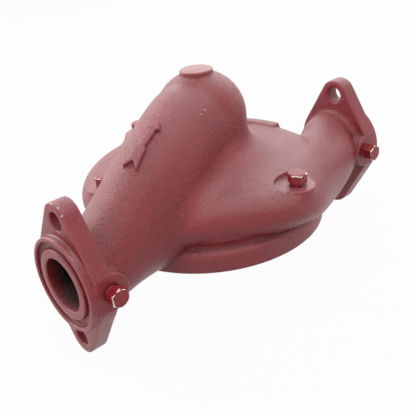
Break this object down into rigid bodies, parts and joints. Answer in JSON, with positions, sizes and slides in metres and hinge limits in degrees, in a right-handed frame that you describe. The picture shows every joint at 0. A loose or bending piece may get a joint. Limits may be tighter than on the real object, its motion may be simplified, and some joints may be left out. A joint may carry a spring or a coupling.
{
  "type": "volute pump casing",
  "caption": "In-line circulator volute casing: a spiral scroll with a suction elbow that climbs over it into a domed eye, and bolted pipe flanges on one line.",
  "frame": {"origin": "centre of the machined motor face, on the pump axis", "axes": "+Z along the pump axis from the motor face towards the suction dome, -X out of the inlet flange, +X out of the outlet flange"},
  "size_m": [0.272, 0.1801, 0.1412],
  "materials": {
    "casing_enamel": "semi-gloss red enamel over sand-cast iron",
    "plug_enamel": "semi-gloss red enamel over forged steel, worn on the corners"
  },
  "bodies": {
    "root": {"volute_casing": "casing_enamel", "inlet_gauge_plug": "plug_enamel", "outlet_gauge_plug": "plug_enamel", "front_scroll_plug": "plug_enamel", "left_scroll_plug": "plug_enamel", "back_scroll_plug": "plug_enamel"}
  },
  "joints": []
}
